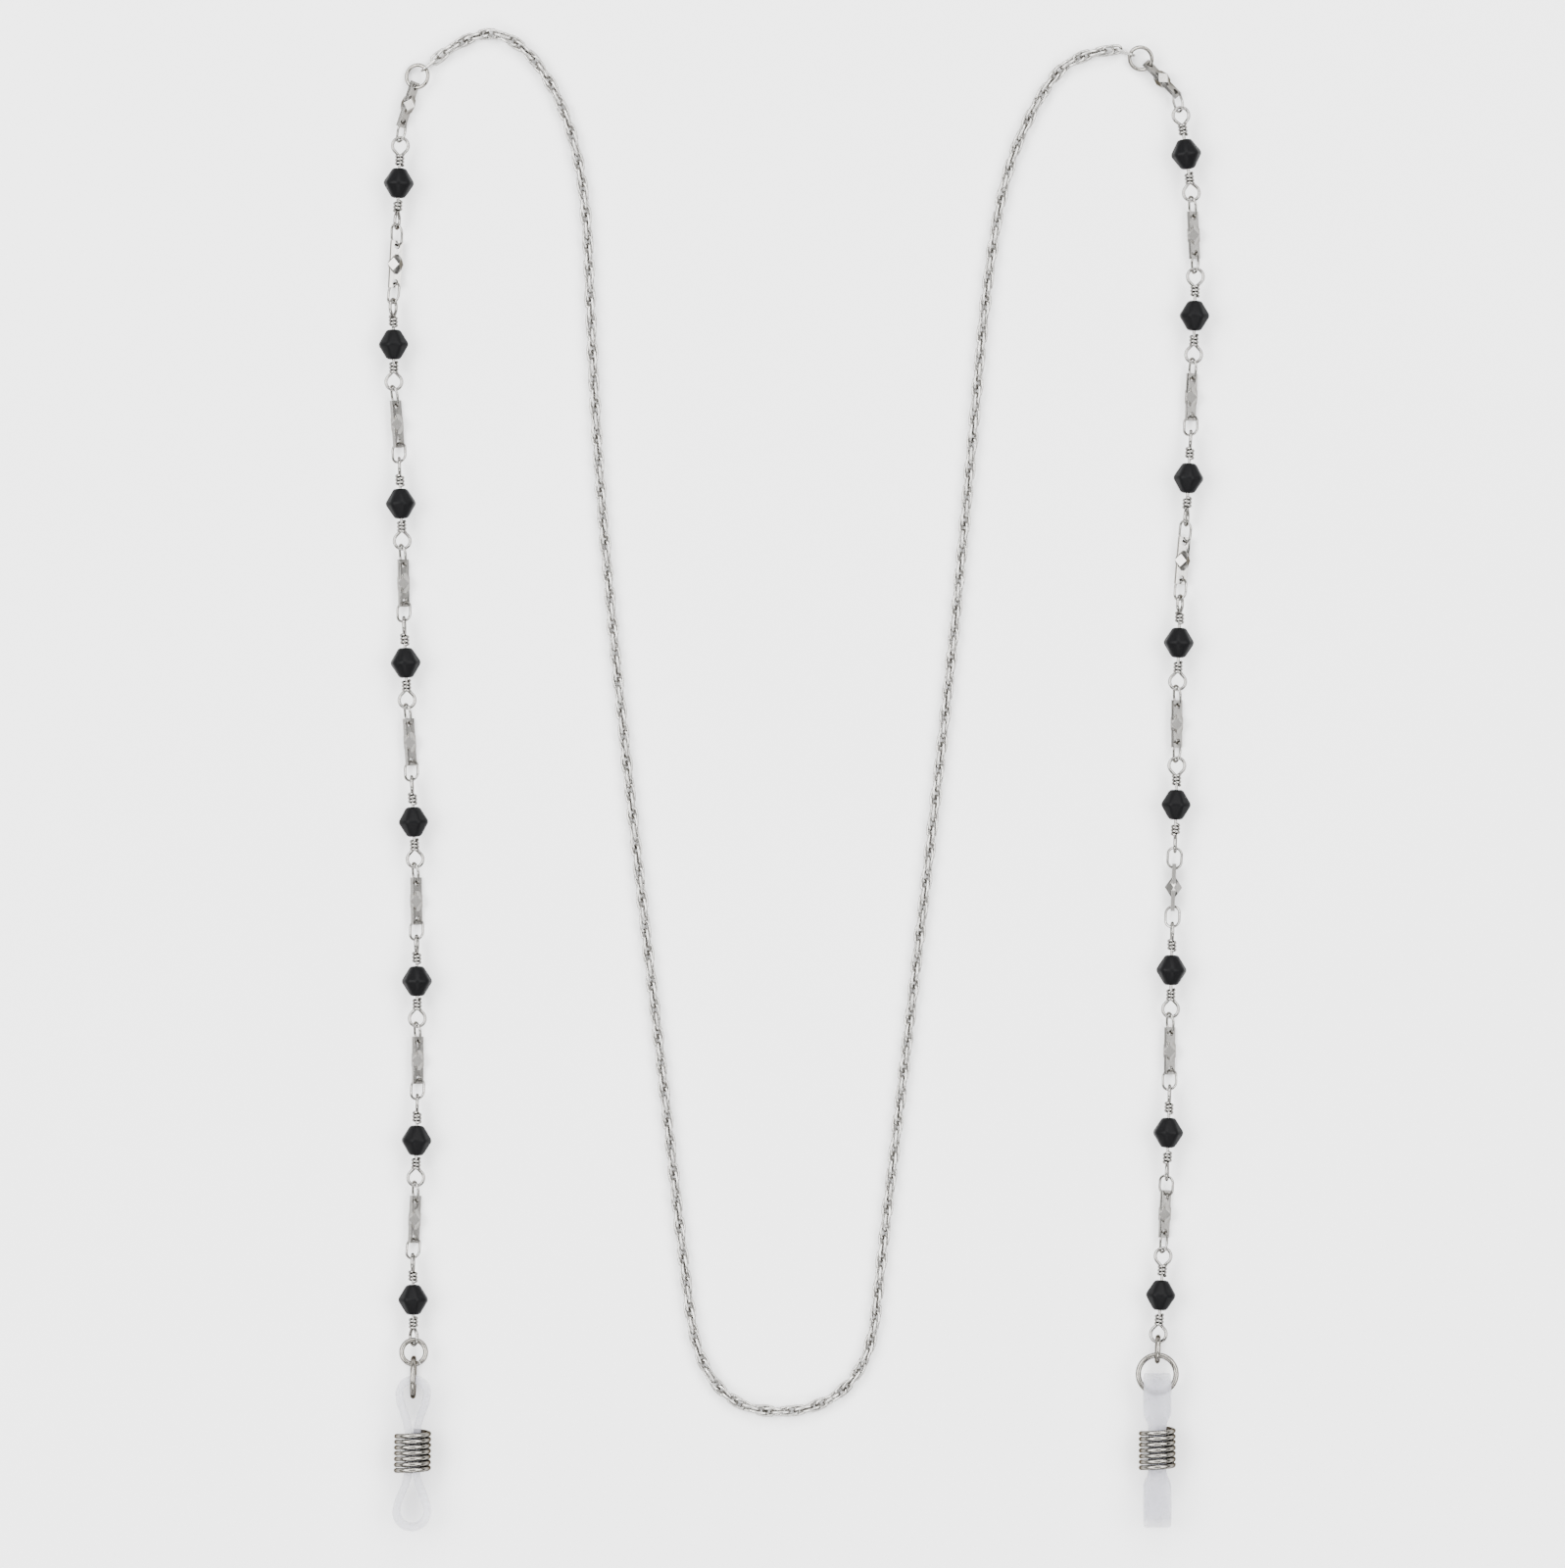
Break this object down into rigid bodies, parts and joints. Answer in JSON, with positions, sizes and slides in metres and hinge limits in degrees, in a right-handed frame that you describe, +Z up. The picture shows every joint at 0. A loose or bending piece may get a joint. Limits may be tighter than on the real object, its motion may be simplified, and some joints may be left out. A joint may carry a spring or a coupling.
{
  "type": "eyeglass chain",
  "caption": "Beaded eyeglass chain: a fine rope chain with strands of faceted bar links and wire-wrapped black beads, ending in elastic temple loops with coil grips.",
  "frame": {"origin": "on the table under the middle of the strands, midway between their loops and the top rings", "axes": "+Z up off the table the chain lies on, +Y along the strands towards the rope ends, +X to the right seen from above"},
  "size_m": [0.1001, 0.1808, 0.0052],
  "materials": {
    "rope_silver": "polished",
    "link_silver": "polished",
    "wire_silver": "polished",
    "dark_silver": "antiqued",
    "black_glass": "satin",
    "clear_silicone": "translucent satin"
  },
  "bodies": {
    "rope_chain": {"rope_chain": "rope_silver", "rope_end_links": "rope_silver"},
    "left_band": {"left_band": "clear_silicone"},
    "left_bar_link_1": {"left_bar_link_1": "link_silver"},
    "left_bar_link_2": {"left_bar_link_2": "link_silver"},
    "left_bar_link_3": {"left_bar_link_3": "link_silver"},
    "left_bar_link_4": {"left_bar_link_4": "link_silver"},
    "left_bar_link_5": {"left_bar_link_5": "link_silver"},
    "left_bar_link_6": {"left_bar_link_6": "link_silver"},
    "left_bar_link_7": {"left_bar_link_7": "link_silver"},
    "left_bar_link_8": {"left_bar_link_8": "link_silver"},
    "left_bead_1": {"left_bead_1": "black_glass"},
    "left_bead_2": {"left_bead_2": "black_glass"},
    "left_bead_3": {"left_bead_3": "black_glass"},
    "left_bead_4": {"left_bead_4": "black_glass"},
    "left_bead_5": {"left_bead_5": "black_glass"},
    "left_bead_6": {"left_bead_6": "black_glass"},
    "left_bead_7": {"left_bead_7": "black_glass"},
    "left_bead_8": {"left_bead_8": "black_glass"},
    "left_bead_wire_1": {"left_bead_wire_1": "wire_silver"},
    "left_bead_wire_2": {"left_bead_wire_2": "wire_silver"},
    "left_bead_wire_3": {"left_bead_wire_3": "wire_silver"},
    "left_bead_wire_4": {"left_bead_wire_4": "wire_silver"},
    "left_bead_wire_5": {"left_bead_wire_5": "wire_silver"},
    "left_bead_wire_6": {"left_bead_wire_6": "wire_silver"},
    "left_bead_wire_7": {"left_bead_wire_7": "wire_silver"},
    "left_bead_wire_8": {"left_bead_wire_8": "wire_silver"},
    "left_coil": {"left_coil": "dark_silver"},
    "left_large_ring": {"left_large_ring": "dark_silver"},
    "left_small_ring": {"left_small_ring": "dark_silver"},
    "left_top_ring": {"left_top_ring": "dark_silver"},
    "right_band": {"right_band": "clear_silicone"},
    "right_bar_link_1": {"right_bar_link_1": "link_silver"},
    "right_bar_link_2": {"right_bar_link_2": "link_silver"},
    "right_bar_link_3": {"right_bar_link_3": "link_silver"},
    "right_bar_link_4": {"right_bar_link_4": "link_silver"},
    "right_bar_link_5": {"right_bar_link_5": "link_silver"},
    "right_bar_link_6": {"right_bar_link_6": "link_silver"},
    "right_bar_link_7": {"right_bar_link_7": "link_silver"},
    "right_bar_link_8": {"right_bar_link_8": "link_silver"},
    "right_bead_1": {"right_bead_1": "black_glass"},
    "right_bead_2": {"right_bead_2": "black_glass"},
    "right_bead_3": {"right_bead_3": "black_glass"},
    "right_bead_4": {"right_bead_4": "black_glass"},
    "right_bead_5": {"right_bead_5": "black_glass"},
    "right_bead_6": {"right_bead_6": "black_glass"},
    "right_bead_7": {"right_bead_7": "black_glass"},
    "right_bead_8": {"right_bead_8": "black_glass"},
    "right_bead_wire_1": {"right_bead_wire_1": "wire_silver"},
    "right_bead_wire_2": {"right_bead_wire_2": "wire_silver"},
    "right_bead_wire_3": {"right_bead_wire_3": "wire_silver"},
    "right_bead_wire_4": {"right_bead_wire_4": "wire_silver"},
    "right_bead_wire_5": {"right_bead_wire_5": "wire_silver"},
    "right_bead_wire_6": {"right_bead_wire_6": "wire_silver"},
    "right_bead_wire_7": {"right_bead_wire_7": "wire_silver"},
    "right_bead_wire_8": {"right_bead_wire_8": "wire_silver"},
    "right_coil": {"right_coil": "dark_silver"},
    "right_large_ring": {"right_large_ring": "dark_silver"},
    "right_small_ring": {"right_small_ring": "dark_silver"},
    "right_top_ring": {"right_top_ring": "dark_silver"}
  },
  "joints": [
    {"name": "left_top_ring_hinge", "type": "hinge", "parent": "rope_chain", "child": "left_top_ring", "pos_m": [-0.04439, 0.08721, 0.00114], "axis": [0.638, -0.7086, 0.3015], "range_deg": [-60, 60]},
    {"name": "left_bar_link_1_hinge", "type": "hinge", "parent": "left_top_ring", "child": "left_bar_link_1", "pos_m": [-0.04578, 0.08494, 0.00092], "axis": [-0.8922, 0.2951, -0.342], "range_deg": [-60, 60]},
    {"name": "left_bead_wire_1_hinge", "type": "hinge", "parent": "left_bar_link_1", "child": "left_bead_wire_1", "pos_m": [-0.0473, 0.07878, 0.00202], "axis": [-0.9936, 0.0433, 0.1045], "range_deg": [-60, 60]},
    {"name": "left_bead_1_spin", "type": "hinge", "parent": "left_bead_wire_1", "child": "left_bead_1", "pos_m": [-0.04754, 0.07334, 0.00202], "axis": [0.0436, 0.9991, 0], "continuous": true},
    {"name": "left_bar_link_2_hinge", "type": "hinge", "parent": "left_bead_wire_1", "child": "left_bar_link_2", "pos_m": [-0.04778, 0.06789, 0.00202], "axis": [-0.2417, 0.0105, 0.9703], "range_deg": [-60, 60]},
    {"name": "left_bead_wire_2_hinge", "type": "hinge", "parent": "left_bar_link_2", "child": "left_bead_wire_2", "pos_m": [-0.04825, 0.05894, 0.00202], "axis": [0.7591, 0.2064, 0.6174], "range_deg": [-60, 60]},
    {"name": "left_bead_2_spin", "type": "hinge", "parent": "left_bead_wire_2", "child": "left_bead_2", "pos_m": [-0.04816, 0.05394, 0.00202], "axis": [-0.0096, 1, 0], "continuous": true},
    {"name": "left_bar_link_3_hinge", "type": "hinge", "parent": "left_bead_wire_2", "child": "left_bar_link_3", "pos_m": [-0.04811, 0.04849, 0.00202], "axis": [-1, -0.0096, 0], "range_deg": [-60, 60]},
    {"name": "left_bead_wire_3_hinge", "type": "hinge", "parent": "left_bar_link_3", "child": "left_bead_wire_3", "pos_m": [-0.04747, 0.03981, 0.00202], "axis": [-0.9993, -0.0371, 0], "range_deg": [-60, 60]},
    {"name": "left_bead_3_spin", "type": "hinge", "parent": "left_bead_wire_3", "child": "left_bead_3", "pos_m": [-0.04729, 0.03481, 0.00202], "axis": [-0.0371, 0.9993, 0], "continuous": true},
    {"name": "left_bar_link_4_hinge", "type": "hinge", "parent": "left_bead_wire_3", "child": "left_bar_link_4", "pos_m": [-0.04709, 0.02937, 0.00202], "axis": [0.9993, 0.0371, 0], "range_deg": [-60, 60]},
    {"name": "left_bead_wire_4_hinge", "type": "hinge", "parent": "left_bar_link_4", "child": "left_bead_wire_4", "pos_m": [-0.04691, 0.02067, 0.00202], "axis": [0.9993, 0.0385, 0], "range_deg": [-60, 60]},
    {"name": "left_bead_4_spin", "type": "hinge", "parent": "left_bead_wire_4", "child": "left_bead_4", "pos_m": [-0.04671, 0.01567, 0.00202], "axis": [-0.0385, 0.9993, 0], "continuous": true},
    {"name": "left_bar_link_5_hinge", "type": "hinge", "parent": "left_bead_wire_4", "child": "left_bar_link_5", "pos_m": [-0.0465, 0.01022, 0.00202], "axis": [-0.9993, -0.0385, 0], "range_deg": [-60, 60]},
    {"name": "left_bead_wire_5_hinge", "type": "hinge", "parent": "left_bar_link_5", "child": "left_bead_wire_5", "pos_m": [-0.04596, 0.00154, 0.00202], "axis": [-0.9991, -0.0424, 0], "range_deg": [-60, 60]},
    {"name": "left_bead_5_spin", "type": "hinge", "parent": "left_bead_wire_5", "child": "left_bead_5", "pos_m": [-0.04576, -0.00346, 0.00202], "axis": [-0.0424, 0.9991, 0], "continuous": true},
    {"name": "left_bar_link_6_hinge", "type": "hinge", "parent": "left_bead_wire_5", "child": "left_bar_link_6", "pos_m": [-0.04553, -0.0089, 0.00202], "axis": [0.9991, 0.0424, 0], "range_deg": [-60, 60]},
    {"name": "left_bead_wire_6_hinge", "type": "hinge", "parent": "left_bar_link_6", "child": "left_bead_wire_6", "pos_m": [-0.04539, -0.0176, 0.00202], "axis": [1, 0.0093, 0], "range_deg": [-60, 60]},
    {"name": "left_bead_6_spin", "type": "hinge", "parent": "left_bead_wire_6", "child": "left_bead_6", "pos_m": [-0.04535, -0.0226, 0.00202], "axis": [-0.0093, 1, 0], "continuous": true},
    {"name": "left_bar_link_7_hinge", "type": "hinge", "parent": "left_bead_wire_6", "child": "left_bar_link_7", "pos_m": [-0.0453, -0.02805, 0.00202], "axis": [-1, -0.0093, 0], "range_deg": [-60, 60]},
    {"name": "left_bead_wire_7_hinge", "type": "hinge", "parent": "left_bar_link_7", "child": "left_bead_wire_7", "pos_m": [-0.0453, -0.03675, 0.00202], "axis": [-0.9998, 0.0184, 0], "range_deg": [-60, 60]},
    {"name": "left_bead_7_spin", "type": "hinge", "parent": "left_bead_wire_7", "child": "left_bead_7", "pos_m": [-0.0454, -0.04175, 0.00202], "axis": [0.0184, 0.9998, 0], "continuous": true},
    {"name": "left_bar_link_8_hinge", "type": "hinge", "parent": "left_bead_wire_7", "child": "left_bar_link_8", "pos_m": [-0.0455, -0.0472, 0.00202], "axis": [0.9998, -0.0184, 0], "range_deg": [-60, 60]},
    {"name": "left_bead_wire_8_hinge", "type": "hinge", "parent": "left_bar_link_8", "child": "left_bead_wire_8", "pos_m": [-0.04588, -0.0559, 0.00202], "axis": [0.9999, 0.0105, 0], "range_deg": [-60, 60]},
    {"name": "left_bead_8_spin", "type": "hinge", "parent": "left_bead_wire_8", "child": "left_bead_8", "pos_m": [-0.0458, -0.0609, 0.00202], "axis": [-0.0105, 0.9999, 0], "continuous": true},
    {"name": "left_small_ring_hinge", "type": "hinge", "parent": "left_bead_wire_8", "child": "left_small_ring", "pos_m": [-0.04574, -0.06635, 0.00202], "axis": [-0.4694, -0.0049, -0.8829], "range_deg": [-60, 15]},
    {"name": "left_large_ring_hinge", "type": "hinge", "parent": "left_small_ring", "child": "left_large_ring", "pos_m": [-0.04573, -0.06863, 0.0023], "axis": [-1, -0.0048, 0], "range_deg": [-60, 60]},
    {"name": "left_band_hinge", "type": "hinge", "parent": "left_large_ring", "child": "left_band", "pos_m": [-0.04579, -0.07174, 0.00262], "axis": [0, 0, 1], "range_deg": [-60, 60]},
    {"name": "left_coil_slide", "type": "slide", "parent": "left_band", "child": "left_coil", "axis": [0.0118, 0.9999, 0], "range_m": [-0.0035, 0.0025], "deforming": ["left_band"]},
    {"name": "right_top_ring_hinge", "type": "hinge", "parent": "rope_chain", "child": "right_top_ring", "pos_m": [0.04044, 0.08892, 0.00075], "axis": [0.3241, 0.8904, 0.3197], "range_deg": [-60, 60]},
    {"name": "right_bar_link_1_hinge", "type": "hinge", "parent": "right_top_ring", "child": "right_bar_link_1", "pos_m": [0.04272, 0.08748, 0.00092], "axis": [-0.6294, -0.6978, -0.342], "range_deg": [-60, 60]},
    {"name": "right_bead_wire_1_hinge", "type": "hinge", "parent": "right_bar_link_1", "child": "right_bead_wire_1", "pos_m": [0.04637, 0.08242, 0.00202], "axis": [-0.9856, -0.1326, 0.1045], "range_deg": [-60, 60]},
    {"name": "right_bead_1_spin", "type": "hinge", "parent": "right_bead_wire_1", "child": "right_bead_1", "pos_m": [0.04713, 0.07682, 0.00202], "axis": [-0.1333, 0.9911, 0], "continuous": true},
    {"name": "right_bar_link_2_hinge", "type": "hinge", "parent": "right_bead_wire_1", "child": "right_bar_link_2", "pos_m": [0.04788, 0.07122, 0.00202], "axis": [0.9911, 0.1333, 0], "range_deg": [-60, 60]},
    {"name": "right_bead_wire_2_hinge", "type": "hinge", "parent": "right_bar_link_2", "child": "right_bead_wire_2", "pos_m": [0.04826, 0.06305, 0.00202], "axis": [0.9997, -0.0224, 0], "range_deg": [-60, 60]},
    {"name": "right_bead_2_spin", "type": "hinge", "parent": "right_bead_wire_2", "child": "right_bead_2", "pos_m": [0.04813, 0.0574, 0.00202], "axis": [0.0224, 0.9997, 0], "continuous": true},
    {"name": "right_bar_link_3_hinge", "type": "hinge", "parent": "right_bead_wire_2", "child": "right_bar_link_3", "pos_m": [0.048, 0.05175, 0.00202], "axis": [-0.9997, 0.0224, 0], "range_deg": [-60, 60]},
    {"name": "right_bead_wire_3_hinge", "type": "hinge", "parent": "right_bar_link_3", "child": "right_bead_wire_3", "pos_m": [0.0477, 0.04306, 0.00202], "axis": [-0.9986, 0.0527, 0], "range_deg": [-60, 60]},
    {"name": "right_bead_3_spin", "type": "hinge", "parent": "right_bead_wire_3", "child": "right_bead_3", "pos_m": [0.0474, 0.03787, 0.00202], "axis": [0.0527, 0.9986, 0], "continuous": true},
    {"name": "right_bar_link_4_hinge", "type": "hinge", "parent": "right_bead_wire_3", "child": "right_bar_link_4", "pos_m": [0.0471, 0.03223, 0.00202], "axis": [-0.2416, 0.0128, 0.9703], "range_deg": [-60, 60]},
    {"name": "right_bead_wire_4_hinge", "type": "hinge", "parent": "right_bar_link_4", "child": "right_bead_wire_4", "pos_m": [0.04639, 0.02329, 0.00202], "axis": [0.7566, 0.2153, 0.6174], "range_deg": [-60, 60]},
    {"name": "right_bead_4_spin", "type": "hinge", "parent": "right_bead_wire_4", "child": "right_bead_4", "pos_m": [0.04624, 0.01809, 0.00202], "axis": [0.0305, 0.9995, 0], "continuous": true},
    {"name": "right_bar_link_5_hinge", "type": "hinge", "parent": "right_bead_wire_4", "child": "right_bar_link_5", "pos_m": [0.04607, 0.01244, 0.00202], "axis": [-0.9995, 0.0305, 0], "range_deg": [-60, 60]},
    {"name": "right_bead_wire_5_hinge", "type": "hinge", "parent": "right_bar_link_5", "child": "right_bead_wire_5", "pos_m": [0.04603, 0.00426, 0.00202], "axis": [-0.9998, 0.0215, 0], "range_deg": [-60, 60]},
    {"name": "right_bead_5_spin", "type": "hinge", "parent": "right_bead_wire_5", "child": "right_bead_5", "pos_m": [0.04591, -0.00139, 0.00202], "axis": [0.0215, 0.9998, 0], "continuous": true},
    {"name": "right_bar_link_6_hinge", "type": "hinge", "parent": "right_bead_wire_5", "child": "right_bar_link_6", "pos_m": [0.0458, -0.00659, 0.00202], "axis": [0.962, -0.1253, 0.2425], "range_deg": [-60, 60]},
    {"name": "right_bead_wire_6_hinge", "type": "hinge", "parent": "right_bar_link_6", "child": "right_bead_wire_6", "pos_m": [0.04546, -0.01608, 0.00202], "axis": [0.9998, -0.0212, 0], "range_deg": [-60, 60]},
    {"name": "right_bead_6_spin", "type": "hinge", "parent": "right_bead_wire_6", "child": "right_bead_6", "pos_m": [0.04535, -0.02128, 0.00202], "axis": [0.0212, 0.9998, 0], "continuous": true},
    {"name": "right_bar_link_7_hinge", "type": "hinge", "parent": "right_bead_wire_6", "child": "right_bar_link_7", "pos_m": [0.04523, -0.02692, 0.00202], "axis": [-0.9998, 0.0212, 0], "range_deg": [-60, 60]},
    {"name": "right_bead_wire_7_hinge", "type": "hinge", "parent": "right_bar_link_7", "child": "right_bead_wire_7", "pos_m": [0.04514, -0.03563, 0.00202], "axis": [-0.9995, 0.0313, 0], "range_deg": [-60, 60]},
    {"name": "right_bead_7_spin", "type": "hinge", "parent": "right_bead_wire_7", "child": "right_bead_7", "pos_m": [0.04497, -0.04082, 0.00202], "axis": [0.0313, 0.9995, 0], "continuous": true},
    {"name": "right_bar_link_8_hinge", "type": "hinge", "parent": "right_bead_wire_7", "child": "right_bar_link_8", "pos_m": [0.04482, -0.04602, 0.00202], "axis": [0.8963, -0.2372, 0.3747], "range_deg": [-60, 60]},
    {"name": "right_bead_wire_8_hinge", "type": "hinge", "parent": "right_bar_link_8", "child": "right_bead_wire_8", "pos_m": [0.04441, -0.05471, 0.00202], "axis": [0.9976, -0.0601, -0.0349], "range_deg": [-60, 60]},
    {"name": "right_bead_8_spin", "type": "hinge", "parent": "right_bead_wire_8", "child": "right_bead_8", "pos_m": [0.04407, -0.06035, 0.00202], "axis": [0.0601, 0.9982, 0], "continuous": true},
    {"name": "right_small_ring_hinge", "type": "hinge", "parent": "right_bead_wire_8", "child": "right_small_ring", "pos_m": [0.04373, -0.06599, 0.00202], "axis": [-0.9764, 0.0588, -0.2079], "range_deg": [-60, 60]},
    {"name": "right_large_ring_hinge", "type": "hinge", "parent": "right_small_ring", "child": "right_large_ring", "pos_m": [0.04366, -0.06827, 0.0023], "axis": [-0.0041, -0.1217, -0.9926], "range_deg": [-60, 60]},
    {"name": "right_band_hinge", "type": "hinge", "parent": "right_large_ring", "child": "right_band", "pos_m": [0.04362, -0.07139, 0.0023], "axis": [0.9999, -0.0132, 0], "range_deg": [-60, 60]},
    {"name": "right_coil_slide", "type": "slide", "parent": "right_band", "child": "right_coil", "axis": [-0.0012, 1, 0], "range_m": [-0.0035, 0.0025], "deforming": ["right_band"]}
  ]
}
